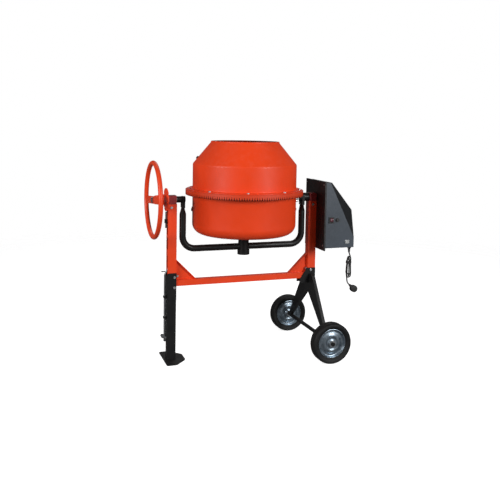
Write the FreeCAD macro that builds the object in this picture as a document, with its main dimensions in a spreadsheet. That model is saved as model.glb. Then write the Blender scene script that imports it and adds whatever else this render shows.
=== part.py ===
import FreeCAD, Part
import math
import os
import re
import Sketcher

# Concrete mixer with a tilting drum, in millimetres, +Z up.
# The drum's own axis is the line X = axis_shift, Y = 0; the whole mixer is moved by
# axis_shift so that its box is centred on the origin and it stands on Z = 0.
# -X is the handwheel side, +X the motor side and -Y the side the switch faces.

SIZES = {
    # whole machine
    "axis_shift": -48.75, "tilt_height": 880,
    # drum
    "drum_radius": 290, "drum_wall": 2.5, "mouth_radius": 192.5, "mouth_height": 1200.5, "bead_radius": 5,
    "shoulder_height": 1072, "seam_height": 932.5, "shell_flange": 318,
    "dish_flat": 60, "dish_edge": 691.6, "dish_corner": 55, "drum_bottom": 658,
    # ring gear and pinion
    "ring_radius": 329, "ring_inner": 293, "ring_teeth": 156, "pinion_teeth": 12, "gear_radius": 312,
    "gear_backlash": 0.4, "gear_clearance": 0.6, "tooth_depth": 14, "ring_gap": 0.3,
    "pinion_front": 298, "pinion_back": 325, "pinion_shaft_radius": 8,
    # yoke
    "arm_offset": 352, "arm_radius": 18, "arm_wall": 2.5, "arm_bend": 68, "arm_low": 608,
    "ear_thick": 14, "ear_radius": 25, "ear_over": 16.5, "neck_low": 800, "neck_high": 835,
    "hub_radius": 30, "hub_flange": 34, "hub_top": 648, "hub_low": 563, "hub_step": 589,
    "bearing_radius": 24, "bearing_width": 15, "drum_shaft_radius": 15,
    # trunnions, lock disc and handwheel
    "trunnion_radius": 16, "bush_wall": 3, "run_gap": 0.06, "collar_left": 17.5, "collar_right": 24.5,
    "disc_radius": 62.5, "disc_thick": 6, "disc_centre": 444.5, "notch_width": 11.6, "notch_depth": 13,
    "wheel_offset": 515, "handwheel_radius": 199, "rim_radius": 12.5, "spoke_height": 42, "spoke_thick": 6,
    # posts and cross tube
    "post_offset": 413, "post_width": 48, "post_depth": 40, "post_wall": 3, "post_low": 385,
    "post_top": 857, "block_width": 42, "block_depth": 46, "block_height": 46,
    "cross_low": 407, "cross_height": 33, "cross_depth": 36, "cross_wall": 2.5,
    "gusset_leg": 114, "gusset_sheet": 3, "gusset_depth": 28,
    # support leg and foot
    "splice_top": 480, "splice_low": 330, "splice_thick": 4, "foot_thick": 6, "foot_half": 110,
    "foot_left": 455, "foot_right": 340, "foot_tip": 42, "foot_shoulder": 402,
    # axle leg
    "leg_plane": 408, "leg_depth": 18, "leg_sheet": 3, "head_top": 467, "head_sheet": 3.5,
    "head_reach": 340, "leg_outer_top": 62, "leg_outer_low": 274, "leg_crotch": 335, "leg_inner_low": 248,
    "leg_shoulder": 435,
    # axle and wheels
    "tyre_radius": 112, "tyre_width": 66, "disc_edge": 80, "track_half": 306.5, "hub_half": 23, "axle_radius": 11,
    "hub_wall": 5, "hub_gap": 0.1, "washer_thick": 2.5, "pin_radius": 2,
    # foot-operated lock
    "rod_radius": 6, "rod_offset": 447.5, "rod_inner": 423, "rod_low": 101, "latch_gap": 3,
    "pedal_height": 124, "joggle_low": 470, "joggle_high": 516, "spring_top": 706, "spring_wire": 1.2,
    # motor box
    "box_left": 437, "tray_depth": 9, "box_right": 625, "box_half": 132, "box_low": 598, "box_top": 972,
    "tray_low": 583, "tray_top": 977, "sheet": 2.5, "corner_top": 480, "corner_side": 810, "facet_left": 471,
    "facet_low": 655, "facet_inset": 37,
    # drive
    "pulley_plane": 478, "pulley_width": 18, "pulley_large": 72, "pulley_small": 16, "motor_height": 700,
    "motor_radius": 55, "motor_front": 500, "motor_back": 612, "rotor_radius": 32, "belt_thick": 5,
    # switch, reset button, cable entry and plug
    "switch_place": 479, "switch_height": 758.5, "reset_place": 516.5,
    "cable_radius": 3.75, "gland_place": 607, "gland_depth": 112, "gland_length": 8, "gland_radius": 8,
    "plug_radius": 20, "plug_depth": 30,
    # fasteners
    "bolt_radius": 4, "head_radius": 7.5, "head_height": 5.5,
}

os.makedirs("parts", exist_ok=True)
doc = FreeCAD.newDocument("concrete_mixer")
sheet = doc.addObject("Spreadsheet::Sheet", "size")
for row, (alias, number) in enumerate(SIZES.items(), start=1):
    sheet.set("A%d" % row, alias.replace("_", " "))
    sheet.set("B%d" % row, str(number))
    sheet.setAlias("B%d" % row, alias)
doc.recompute()

pieces = []
placed = {}
PLUS_X = FreeCAD.Rotation(FreeCAD.Vector(0, 1, 0), 90)
PLUS_Y = FreeCAD.Rotation(FreeCAD.Vector(1, 0, 0), -90)
UPRIGHT = FreeCAD.Rotation()


def cells(text):
    """Write an expression's size names the way the document refers to its sheet."""
    return re.sub(r"[a-z][a-z_]*", lambda word: "size." + word.group() if word.group() in SIZES
                  else word.group(), str(text))


def number(text):
    return float(sheet.evalExpression(cells(text)))


def bind(item, **expressions):
    for name, text in expressions.items():
        item.setExpression(name, cells(text))


def place(item, x=0, y=0, z=0, turn=UPRIGHT):
    item.Placement = FreeCAD.Placement(FreeCAD.Vector(number(x), number(y), number(z)), turn)
    for axis, text in (("x", x), ("y", y), ("z", z)):
        item.setExpression("Placement.Base." + axis, cells(text))
    placed[item.Name] = x
    return item


def box(x, y, z, turn=UPRIGHT):
    """A box from three (low, high) pairs of expressions."""
    item = doc.addObject("Part::Box", "box")
    sides = dict(zip(("Length", "Width", "Height"), (x, y, z)))
    bind(item, **{side: "(%s) - (%s)" % (high, low) for side, (low, high) in sides.items()})
    return place(item, x[0], y[0], z[0], turn)


def rod(radius, length, x=0, y=0, z=0, turn=UPRIGHT):
    item = doc.addObject("Part::Cylinder", "rod")
    bind(item, Radius=radius, Height=length)
    return place(item, x, y, z, turn)


def cone(low, high, length, x=0, y=0, z=0, turn=UPRIGHT):
    item = doc.addObject("Part::Cone", "cone")
    bind(item, Radius1=low, Radius2=high, Height=length)
    return place(item, x, y, z, turn)


def hexagon(radius, length, x=0, y=0, z=0, turn=UPRIGHT):
    item = doc.addObject("Part::Prism", "hexagon")
    item.Polygon = 6
    bind(item, Circumradius=radius, Height=length)
    return place(item, x, y, z, turn)


def torus(ring, tube, x=0, y=0, z=0, turn=UPRIGHT, sweep=360):
    item = doc.addObject("Part::Torus", "torus")
    bind(item, Radius1=ring, Radius2=tube)
    item.Angle3 = sweep
    return place(item, x, y, z, turn)


def fuse(*items):
    if len(items) == 1:
        return items[0]
    item = doc.addObject("Part::MultiFuse", "fuse")
    item.Shapes = list(items)
    return item


def cut(base, *tools):
    item = doc.addObject("Part::Cut", "cut")
    item.Base = base
    item.Tool = fuse(*tools)
    return item


def common(first, second):
    item = doc.addObject("Part::MultiCommon", "common")
    item.Shapes = [first, second]
    return item


def group(*items):
    item = doc.addObject("Part::Compound", "group")
    item.Links = list(items)
    return item


def built(shape):
    """A shape worked out with Part's own functions from the sheet's numbers."""
    item = doc.addObject("Part::Feature", "built")
    item.Shape = shape
    return item


def piece(name, item):
    """Make an object one named piece of the mixer, moved over with all the others."""
    item.Label = name
    item.setExpression("Placement.Base.x", cells("(%s) + axis_shift" % placed.get(item.Name, 0)))
    pieces.append(item)
    return item


def body(name):
    return doc.addObject("PartDesign::Body", name)


def sketch(owner, plane, *outlines):
    """Closed outlines of (across, up, corner radius) expressions on one plane of the body."""
    item = owner.newObject("Sketcher::SketchObject", "outline")
    support = [part for part in owner.Origin.OriginFeatures if part.Role == plane][0]
    item.AttachmentSupport = [(support, "")]
    item.MapMode = "FlatFace"
    for points in outlines:
        add_outline(item, [tuple(point) + (None,) * (3 - len(point)) for point in points])
    return item


def add_outline(item, points):
    first = item.GeometryCount
    count = len(points)
    corners = [FreeCAD.Vector(number(across), number(up), 0) for across, up, radius in points]
    starts, ends, arcs = [], [], {}
    for index, (across, up, radius) in enumerate(points):
        corner = corners[index]
        if radius is None:
            starts.append(corner)
            ends.append(corner)
            continue
        back = (corners[index - 1] - corner).normalize()
        ahead = (corners[(index + 1) % count] - corner).normalize()
        half = back.getAngle(ahead) / 2
        reach = number(radius) / math.tan(half)
        centre = corner + (back + ahead).normalize() * (number(radius) / math.sin(half))
        middle = centre + (corner - centre).normalize() * number(radius)
        ends.append(corner + back * reach)
        starts.append(corner + ahead * reach)
        arcs[index] = Part.Arc(ends[index], middle, starts[index])
    for index in range(count):
        item.addGeometry(Part.LineSegment(starts[index], ends[(index + 1) % count]), False)
    for index, (across, up, radius) in enumerate(points):
        before, after = first + (index - 1) % count, first + index
        if radius is None:
            item.addConstraint(Sketcher.Constraint("Coincident", before, 2, after, 1))
            fix_point(item, after, 1, across, up)
            continue
        arc = item.addGeometry(arcs[index], False)
        arc_start, arc_end = arc_ends(item, arc, ends[index])
        corner = item.addGeometry(Part.Point(corners[index]), True)
        item.addConstraint(Sketcher.Constraint("PointOnObject", corner, 1, before))
        item.addConstraint(Sketcher.Constraint("PointOnObject", corner, 1, after))
        fix_point(item, corner, 1, across, up)
        item.addConstraint(Sketcher.Constraint("Tangent", before, 2, arc, arc_start))
        item.addConstraint(Sketcher.Constraint("Tangent", arc, arc_end, after, 1))
        size = item.addConstraint(Sketcher.Constraint("Radius", arc, number(radius)))
        item.renameConstraint(size, "radius%d" % arc)
        item.setExpression("Constraints.radius%d" % arc, cells(radius))


def arc_ends(item, arc, entry):
    """Which end of the arc the outline comes in at, and which it leaves by."""
    begins = item.getPoint(arc, 1)
    return (1, 2) if (begins - entry).Length < 1e-4 else (2, 1)


def fix_point(item, geometry, end, across, up):
    for kind, text in (("DistanceX", across), ("DistanceY", up)):
        index = item.addConstraint(Sketcher.Constraint(kind, geometry, end, number(text)))
        name = "%s%d" % (kind, geometry)
        item.renameConstraint(index, name)
        item.setExpression("Constraints." + name, cells(text))


def pad(owner, outline, thickness, symmetric=True, reverse=False):
    item = owner.newObject("PartDesign::Pad", "pad")
    item.Profile = outline
    item.SideType = "Symmetric" if symmetric else "One side"
    item.Reversed = reverse
    bind(item, Length=thickness)
    return item


def spin(owner, outline, axis="V_Axis"):
    item = owner.newObject("PartDesign::Revolution", "spin")
    item.Profile = outline
    item.ReferenceAxis = (outline, [axis])
    item.Angle = 360
    return item


def plate(plane, thickness, points, x=0, y=0, z=0):
    """A flat plate from one outline, its middle plane through the given place."""
    owner = body("plate")
    pad(owner, sketch(owner, plane, points), thickness)
    return place(owner, x, y, z)


def bolt(x, y, z, length, turn, nut=True):
    """Hexagon bolt with its nut, the head's seat at the given place and the shank along turn."""
    direction = turn.multVec(FreeCAD.Vector(0, 0, 1))
    step = [("%s + (%s) * (%g)" % (start, "{}", part)) for start, part in zip((x, y, z), direction)]
    head = [text.format("-head_height") for text in step]
    parts = [hexagon("head_radius", "head_height", *head, turn=turn),
             rod("bolt_radius", "%s + (%g)" % (length, number("head_height") + 1.5 if nut else 0),
                 x, y, z, turn)]
    if nut:
        parts.append(hexagon("head_radius", "head_height", *[text.format(length) for text in step], turn=turn))
    return fuse(*parts)


# ---------------------------------------------------------------- posts, cross tube and gussets
A = "tilt_height"
GUSSET_BOLT = "cross_low + cross_height + 22"
GUSSET_BOLT_Y = "-11"


LATCH_SLOTS = (("post_top - 62", "post_top - 36"), ("post_top - 168", "post_top - 96"), ("608", "672"),
               ("462", "574"))


def make_post(name, side):
    """A tube post slotted for the lock on the left, and a channel open to the motor box on the right."""
    outer = ("%d * post_offset - post_width / 2" % side, "%d * post_offset + post_width / 2" % side)
    hollow = (outer[0] + " + post_wall", outer[1] + (" - post_wall" if side < 0 else " + 1"))
    inside = ("-post_depth / 2 + post_wall", "post_depth / 2 - post_wall")
    tools = [box(hollow, inside, ("post_low - 1", "post_top + 1"))]
    if side < 0:
        tools += [box((outer[0] + " - 1", outer[0] + " + post_wall + 1"), ("-12", "12"), slot)
                  for slot in LATCH_SLOTS]
    tools += [rod("bolt_radius", "2 * post_depth", x, "-post_depth", z, PLUS_Y)
              for x, z in bolt_places(side)]
    tools.append(rod("bolt_radius", "post_width + 2", outer[0] + " - 1", GUSSET_BOLT_Y, GUSSET_BOLT, PLUS_X))
    shell = box(outer, ("-post_depth / 2", "post_depth / 2"), ("post_low", "post_top"))
    piece(name, cut(shell, *tools))


def bolt_places(side):
    """(x, z) of the bolts that pass through a post from front to back."""
    middle = "%d * post_offset" % side
    if side < 0:
        return [(middle + " - 6", A + " - 42"), (middle + " + 13", "post_low + 73"),
                (middle + " + 13", "post_low + 16")]
    return [(middle, A + " - 42"), (middle + " - 6", "post_low + 71"), (middle + " + 12.5", "post_low + 9")]


make_post("handwheel_post", -1)
make_post("motor_post", 1)

tube_end = "post_offset - post_width / 2"
tube = box(("-(%s)" % tube_end, tube_end), ("-cross_depth / 2", "cross_depth / 2"),
           ("cross_low", "cross_low + cross_height"))
bore = box(("-(%s) - 1" % tube_end, tube_end + " + 1"),
           ("-cross_depth / 2 + cross_wall", "cross_depth / 2 - cross_wall"),
           ("cross_low + cross_wall", "cross_low + cross_height - cross_wall"))
piece("cross_tube", cut(tube, bore))


def make_gusset(side):
    """Triangular web with a flange on the post and a sloping flange, all of one thickness."""
    face = "%d * (post_offset - post_width / 2)" % side
    inner = "%d * (post_offset - post_width / 2 - gusset_leg)" % side
    base = "cross_low + cross_height"
    sheet_in = "%d * (post_offset - post_width / 2 - gusset_sheet)" % side
    slope = "%d * (post_offset - post_width / 2 - gusset_leg + gusset_sheet * 1.414)" % side
    owner = body("gusset")
    web = [(face, base), (inner, base), (face, base + " + gusset_leg")]
    upright = [(face, base), (sheet_in, base), (sheet_in, base + " + gusset_leg - gusset_sheet"),
               (face, base + " + gusset_leg")]
    ramp = [(inner, base), (slope, base), (face, base + " + gusset_leg - gusset_sheet * 1.414"),
            (face, base + " + gusset_leg")]
    pad(owner, sketch(owner, "XZ_Plane", web), "gusset_sheet")
    pad(owner, sketch(owner, "XZ_Plane", upright), "gusset_depth")
    pad(owner, sketch(owner, "XZ_Plane", ramp), "gusset_depth")
    hole = rod("bolt_radius", "20", "%d * (post_offset - post_width / 2) - 10" % side, GUSSET_BOLT_Y,
               GUSSET_BOLT, PLUS_X)
    return cut(owner, hole)


piece("left_gusset", make_gusset(-1))
piece("right_gusset", make_gusset(1))

# ---------------------------------------------------------------- support leg and foot plate
leg_side = ("-post_offset - post_width / 2", "-post_offset + post_width / 2")
leg_tube = cut(box(leg_side, ("-post_depth / 2", "post_depth / 2"), ("foot_thick", "post_low - 1")),
               box(("-post_offset - post_width / 2 + post_wall", "-post_offset + post_width / 2 - post_wall"),
                   ("-post_depth / 2 + post_wall", "post_depth / 2 - post_wall"),
                   ("foot_thick - 1", "post_low")))
front_splice = box(leg_side, ("-post_depth / 2 - splice_thick", "-post_depth / 2"), ("splice_low", "splice_top"))
rear_splice = box(leg_side, ("post_depth / 2", "post_depth / 2 + splice_thick"), ("splice_low", "splice_top"))
splice_holes = [rod("bolt_radius", "2 * post_depth", x, "-post_depth", z, PLUS_Y)
                for x, z in bolt_places(-1)[1:]]
piece("support_leg", cut(fuse(leg_tube, front_splice, rear_splice), *splice_holes))

piece("foot_plate", plate("XY_Plane", "foot_thick", [
    ("-foot_left", "-foot_half", "8"), ("-foot_shoulder", "-foot_half", "14"),
    ("-foot_right", "-foot_tip", "20"), ("-foot_right", "foot_tip", "20"),
    ("-foot_shoulder", "foot_half", "14"), ("-foot_left", "foot_half", "8")], z="foot_thick / 2"))

# ---------------------------------------------------------------- axle leg, axle and wheels
head_side = "post_offset + post_width / 2"
head_floor = box(("post_offset - post_width / 2", head_side),
                 ("-post_depth / 2 - head_sheet", "post_depth / 2 + head_sheet"), ("post_low - 4", "post_low"))
cheek_points = [("post_offset + post_width / 2", "post_low - 4"), ("post_offset + post_width / 2", "head_top"),
                ("post_offset - post_width / 2 - 5", "head_top"), ("head_reach", "post_low + 16"),
                ("head_reach", "post_low - 4")]
cheeks = [plate("XZ_Plane", "head_sheet", cheek_points, y="%d * (post_depth + head_sheet) / 2" % side)
          for side in (-1, 1)]
head_holes = [rod("bolt_radius", "2 * post_depth", x, "-post_depth", z, PLUS_Y)
              for x, z in bolt_places(1)[1:]]
piece("axle_leg_head", cut(fuse(head_floor, *cheeks), *head_holes))


def make_axle_leg(name, side):
    """One tapering channel leg, closed towards the handwheel and coped onto the axle."""
    top = "%d * (post_depth / 2 + head_sheet)" % side
    low = "tyre_radius"
    outer = [("0", "post_low - 4"), (top, "post_low - 4"), (top, "leg_shoulder"),
             ("%d * leg_outer_top" % side, "leg_shoulder - 6", "6"), ("%d * leg_outer_low" % side, low),
             ("%d * leg_inner_low" % side, low), ("0", "leg_crotch")]
    top_in = "%d * (post_depth / 2 + head_sheet + leg_sheet)" % side
    inner = [("0", "post_low - 4 - leg_sheet"), (top_in, "post_low - 4 - leg_sheet"),
             (top_in, "leg_shoulder - leg_sheet"),
             ("%d * (leg_outer_top - leg_sheet)" % side, "leg_shoulder - 6 - leg_sheet", "4"),
             ("%d * (leg_outer_low - 1.25 * leg_sheet)" % side, low + " - 1"),
             ("%d * (leg_inner_low + 1.3 * leg_sheet)" % side, low + " - 1"),
             ("0", "leg_crotch + 1.6 * leg_sheet")]
    blank = plate("YZ_Plane", "leg_depth", outer, "leg_plane")
    hollow = plate("YZ_Plane", "leg_depth", inner, "leg_plane + leg_sheet")
    axle_bore = rod("axle_radius", "2 * track_half", "leg_plane", "-track_half", "tyre_radius", PLUS_Y)
    piece(name, cut(blank, hollow, axle_bore))


make_axle_leg("axle_leg_near", -1)
make_axle_leg("axle_leg_far", 1)

hub_end = "track_half + hub_half"
axle_half = hub_end + " + washer_thick + 10"
axle_bar = rod("axle_radius", "2 * (%s)" % axle_half, "leg_plane", "-(%s)" % axle_half, "tyre_radius", PLUS_Y)
pin_at = hub_end + " + washer_thick + 4"
pin_bores = [rod("pin_radius", "3 * axle_radius", "leg_plane", "%d * (%s)" % (side, pin_at),
                 "tyre_radius - 1.5 * axle_radius") for side in (-1, 1)]
piece("axle", cut(axle_bar, *pin_bores))


def make_axle_fasteners():
    parts = []
    for side in (-1, 1):
        for start in ("track_half - hub_half - washer_thick - 0.3", hub_end + " + 0.3"):
            low = start if side > 0 else "-(%s) - washer_thick" % start
            ring = rod("axle_radius + 7", "washer_thick", "leg_plane", low, "tyre_radius", PLUS_Y)
            hole = rod("axle_radius", "washer_thick + 2", "leg_plane", low + " - 1", "tyre_radius", PLUS_Y)
            parts.append(cut(ring, hole))
        parts.append(rod("pin_radius", "3 * axle_radius", "leg_plane", "%d * (%s)" % (side, pin_at),
                         "tyre_radius - 1.5 * axle_radius"))
    return group(*parts)


piece("axle_fasteners", make_axle_fasteners())


def make_wheel(name, side):
    """Solid rubber tyre on a hollow two-sided steel disc with a hub tube."""
    half = "tyre_width / 2"
    tyre = body("tyre")
    spin(tyre, sketch(tyre, "XY_Plane", [
        ("disc_edge", "-19"), ("disc_edge + 8", "-(%s) + 7" % half, "3"), ("tyre_radius - 9", "-(%s)" % half, "6"),
        ("tyre_radius", "-(%s) + 10" % half, "6"), ("tyre_radius", "(%s) - 10" % half, "6"),
        ("tyre_radius - 9", half, "6"), ("disc_edge + 8", "(%s) - 7" % half, "3"), ("disc_edge", "19")]))
    place(tyre, "leg_plane", "%d * track_half" % side, "tyre_radius")
    piece(name + "_tyre", tyre)
    disc = body("disc")
    bore, hub = "axle_radius + hub_gap", "axle_radius + hub_gap + hub_wall"
    outer = [(bore, "-hub_half"), (hub, "-hub_half"), (hub, "-18"), ("disc_edge - 10", "-12"),
             ("disc_edge - 5", "-19", "2"), ("disc_edge", "-19"), ("disc_edge", "19"), ("disc_edge - 5", "19", "2"),
             ("disc_edge - 10", "12"), (hub, "18"), (hub, "hub_half"), (bore, "hub_half")]
    inner = [(hub, "-15"), ("disc_edge - 9", "-9"), ("disc_edge - 2.5", "-15"), ("disc_edge - 2.5", "15"),
             ("disc_edge - 9", "9"), (hub, "15")]
    spin(disc, sketch(disc, "XY_Plane", outer, inner))
    place(disc, "leg_plane", "%d * track_half" % side, "tyre_radius")
    piece(name + "_disc", disc)


make_wheel("near_wheel", -1)
make_wheel("far_wheel", 1)

# ---------------------------------------------------------------- trunnion blocks, bushes and frame bolts
bush_radius = "trunnion_radius + run_gap + bush_wall"


def make_block(side):
    middle = "%d * post_offset" % side
    block = box((middle + " - block_width / 2", middle + " + block_width / 2"),
                ("-block_depth / 2", "block_depth / 2"), ("post_top", A + " + block_height / 2"))
    tongue = box((middle + " - block_width / 2 + 2", middle + " + block_width / 2 - 2"),
                 ("-post_depth / 2 + post_wall", "post_depth / 2 - post_wall"), ("post_top - 32", "post_top"))
    x, z = bolt_places(side)[0]
    return cut(fuse(block, tongue),
               rod(bush_radius, "block_width + 2", middle + " - block_width / 2 - 1", 0, A, PLUS_X),
               rod("bolt_radius", "2 * post_depth", x, "-post_depth", z, PLUS_Y))


def make_bush(side):
    start = "%d * post_offset - block_width / 2" % side
    return cut(rod(bush_radius, "block_width", start, 0, A, PLUS_X),
               rod("trunnion_radius + run_gap", "block_width + 2", start + " - 1", 0, A, PLUS_X))


piece("bearing_blocks", group(make_block(-1), make_block(1)))
piece("trunnion_bushes", group(make_bush(-1), make_bush(1)))


TRAY_SCREWS = [("%d * (box_half - 14)" % y, z) for y in (-1, 1) for z in ("box_top - 14", "box_low + 14")]


def make_frame_fasteners():
    """Through-bolts of the frame with their nuts, and the screws that hold the motor tray."""
    parts = [fuse(rod("5", "3", "box_left - 3", y, z, PLUS_X),
                  rod("2.5", "tray_depth", "box_left", y, z, PLUS_X)) for y, z in TRAY_SCREWS]
    for side in (-1, 1):
        seats = ["post_depth / 2"] + ["post_depth / 2 + " + ("splice_thick" if side < 0 else "head_sheet")] * 2
        for (x, z), seat in zip(bolt_places(side), seats):
            parts.append(bolt(x, "-(%s)" % seat, z, "2 * (%s)" % seat, PLUS_Y))
    face = "post_offset - post_width / 2 - gusset_sheet"
    for side in (-1, 1):
        start = "-(%s)" % face if side < 0 else face
        turn = FreeCAD.Rotation(FreeCAD.Vector(0, 1, 0), 90 * side)
        seat = hexagon("head_radius + 2", "head_height + 3", "%s - %d * (head_height + 3)" % (start, side),
                       GUSSET_BOLT_Y, GUSSET_BOLT, turn)
        shank = rod("bolt_radius", "gusset_sheet + post_wall", start, GUSSET_BOLT_Y, GUSSET_BOLT, turn)
        nut = hexagon("head_radius - 1", "head_height", "%s + %d * (gusset_sheet + post_wall)" % (start, side),
                      GUSSET_BOLT_Y, GUSSET_BOLT, turn)
        parts.append(fuse(seat, shank, nut))
    return group(*parts)


piece("frame_fasteners", make_frame_fasteners())

# ---------------------------------------------------------------- tilting yoke with its trunnions


def make_arm(name, side):
    """Bent tube from the hub up to a flattened ear on the tilt axis."""
    x = "%d * arm_offset" % side
    straight = "arm_offset - arm_bend"
    knee = "arm_low + arm_bend"
    turn = FreeCAD.Rotation(FreeCAD.Vector(side, 0, 0), FreeCAD.Vector(0, 0, -1), FreeCAD.Vector(0, side, 0), "XYZ")

    def run(radius, spare):
        low = "-(%s)" % straight if side < 0 else "0"
        return [rod(radius, straight, low, 0, "arm_low", PLUS_X),
                torus("arm_bend", radius, "%d * (%s)" % (side, straight), 0, knee, turn, 90),
                rod(radius, "neck_low - (%s) + %d" % (knee, spare), x, 0, knee)]

    ear_low = x + " - ear_thick / 2"
    circle = doc.addObject("Part::Circle", "neck")
    bind(circle, Radius="arm_radius")
    place(circle, x, 0, "neck_low")
    oval = doc.addObject("Part::Ellipse", "neck")
    bind(oval, MajorRadius="ear_radius", MinorRadius="ear_thick / 2")
    place(oval, x, 0, "neck_high", FreeCAD.Rotation(FreeCAD.Vector(0, 0, 1), 90))
    neck = doc.addObject("Part::Loft", "neck")
    neck.Sections = [circle, oval]
    neck.Solid = True
    ear = [box((ear_low, x + " + ear_thick / 2"), ("-ear_radius", "ear_radius"), ("neck_high", A + " + 6")),
           common(box((ear_low, x + " + ear_thick / 2"), ("-ear_radius", "ear_radius"), (A, A + " + ear_over")),
                  rod("ear_radius", "ear_thick", ear_low, 0, A, PLUS_X))]
    solid = fuse(*run("arm_radius", 0), neck, *ear)
    hollow = fuse(*run("arm_radius - arm_wall", -2))
    coping = rod("hub_radius", "4 * arm_radius", 0, 0, "arm_low - 2 * arm_radius")
    bore = rod("trunnion_radius", "ear_thick + 2", ear_low + " - 1", 0, A, PLUS_X)
    piece(name, cut(solid, hollow, coping, bore))


make_arm("yoke_arm_left", -1)
make_arm("yoke_arm_right", 1)

hub_outer = fuse(rod("hub_radius", "hub_top - hub_low", 0, 0, "hub_low"),
                 rod("hub_flange", "hub_step - hub_low", 0, 0, "hub_low"))
hub_bore = rod("bearing_radius", "hub_top - hub_low", 0, 0, "hub_low + 4")
piece("yoke_hub", cut(hub_outer, hub_bore))


def make_bearing(low):
    return cut(rod("bearing_radius", "bearing_width", 0, 0, low),
               rod("drum_shaft_radius + run_gap", "bearing_width + 2", 0, 0, low + " - 1"))


piece("hub_bearings", group(make_bearing("hub_low + 6"), make_bearing("hub_top - bearing_width - 1")))

shaft_start = "wheel_offset + spoke_thick / 2 + 8"
ear_inner = "arm_offset - ear_thick / 2"
piece("left_trunnion", rod("trunnion_radius", "%s - (%s) + 4" % (shaft_start, ear_inner),
                           "-(%s)" % shaft_start, 0, A, PLUS_X))
right_tube = rod("trunnion_radius", "110", ear_inner + " - 3", 0, A, PLUS_X)
right_bore = rod("pinion_shaft_radius + run_gap", "112", ear_inner + " - 4", 0, A, PLUS_X)
piece("right_trunnion", cut(right_tube, right_bore))


def make_collars(side, radius, inner):
    """Two black collars that hold the ear of an arm on its trunnion."""
    ear_outer = "arm_offset + ear_thick / 2"
    post_face = "post_offset - post_width / 2 - 1"
    parts = []
    for low, high in ((inner, ear_inner), (ear_outer, post_face)):
        start = low if side > 0 else "-(%s)" % high
        length = "(%s) - (%s)" % (high, low)
        parts.append(cut(rod(radius, length, start, 0, A, PLUS_X),
                         rod("trunnion_radius", length + " + 2", "(%s) - 1" % start, 0, A, PLUS_X)))
    return parts


piece("trunnion_collars", group(*make_collars(-1, "collar_left", ear_inner + " - 4"),
                                *make_collars(1, "collar_right", "ring_radius + 3")))


def make_lock_disc():
    """Round plate with a notch at every stop; the latch comes up into the lowest one."""
    start = "-disc_centre - disc_thick / 2"
    blank = rod("disc_radius", "disc_thick", start, 0, A, PLUS_X)
    tools = [rod("trunnion_radius", "disc_thick + 2", start + " - 1", 0, A, PLUS_X)]
    for angle in (-120, -80, -40, 0, 40, 80, 120):
        notch = doc.addObject("Part::Box", "notch")
        bind(notch, Length="disc_thick + 2", Width="notch_width", Height="notch_depth + 2")
        turn = FreeCAD.Rotation(FreeCAD.Vector(1, 0, 0), angle)
        low = "(disc_radius + 2)"
        place(notch, start + " - 1", "%.6f * notch_width / 2 + %.6f * %s"
              % (-math.cos(math.radians(angle)), math.sin(math.radians(angle)), low),
              "tilt_height - %.6f * notch_width / 2 - %.6f * %s"
              % (math.sin(math.radians(angle)), math.cos(math.radians(angle)), low), turn)
        tools.append(notch)
    return cut(blank, *tools)


piece("lock_disc", make_lock_disc())

# ---------------------------------------------------------------- handwheel
rim_args = ("handwheel_radius", "rim_radius", "-wheel_offset", 0, A, PLUS_X)
piece("handwheel_rim", torus(*rim_args))
bar = box(("-wheel_offset - spoke_thick / 2", "-wheel_offset + spoke_thick / 2"),
          ("-handwheel_radius", "handwheel_radius"), (A + " - spoke_height / 2", A + " + spoke_height / 2"))
SPOKE_TURN = math.radians(-5)
bar_turned = place(fuse(bar, box(("-wheel_offset - spoke_thick / 2", "-wheel_offset + spoke_thick / 2"), ("-40", "40"),
                                 (A + " - 40", A + " + 40"))),
                   0, "%.6f * tilt_height" % math.sin(SPOKE_TURN), "%.6f * tilt_height" % (1 - math.cos(SPOKE_TURN)),
                   FreeCAD.Rotation(FreeCAD.Vector(1, 0, 0), math.degrees(SPOKE_TURN)))
bar_fitted = cut(bar_turned, torus(*rim_args))
boss = cone("37", "29", "56.5", "-wheel_offset + spoke_thick / 2", 0, A, PLUS_X)
nut = hexagon("22", "5", "-wheel_offset - spoke_thick / 2 - 5", 0, A, PLUS_X)
hub_hole = rod("trunnion_radius", "80", "-wheel_offset - 20", 0, A, PLUS_X)
piece("handwheel_spoke", cut(fuse(bar_fitted, boss, nut), hub_hole))

# ---------------------------------------------------------------- foot-operated tilt lock
# The latch bar starts just under the disc, outside the channel; a foot lifts it into a notch.
latch_top = "tilt_height - disc_radius - latch_gap"
low_rod = rod("rod_radius", "joggle_low - rod_low", "-rod_offset", 0, "rod_low")
high_rod = rod("rod_radius - 1", "%s - 80 - joggle_high" % latch_top, "-rod_inner", 0, "joggle_high")
slope_turn = FreeCAD.Rotation(FreeCAD.Vector(0, 1, 0),
                              math.degrees(math.atan2(number("rod_offset - rod_inner"),
                                                      number("joggle_high - joggle_low"))))
slope_rod = rod("rod_radius", "sqrt((rod_offset - rod_inner)^2 + (joggle_high - joggle_low)^2)",
                "-rod_offset", 0, "joggle_low", slope_turn)
elbows = []
for x, z in (("-rod_offset", "joggle_low"), ("-rod_inner", "joggle_high")):
    ball = doc.addObject("Part::Sphere", "elbow")
    bind(ball, Radius="rod_radius")
    elbows.append(place(ball, x, 0, z))
hook = rod("3", "20", "-rod_offset - 20", 0, "joggle_low + 18", PLUS_X)
link = box(("-disc_centre - 3.5", "-rod_inner + 4"), ("-5", "5"), (latch_top + " - 88", latch_top + " - 75"))
latch = box(("-disc_centre - 3.5", "-disc_centre + 3.5"), ("-5", "5"), (latch_top + " - 88", latch_top))
pedal = fuse(box(("-rod_offset - 18", "-rod_offset + 6"), ("-18", "12"), ("pedal_height", "pedal_height + 7")),
             rod("9", "22", "-rod_offset - 12", "-11", "pedal_height + 8", PLUS_Y))
piece("lock_rod", fuse(low_rod, slope_rod, *elbows, high_rod, hook, link, latch, pedal))
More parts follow.
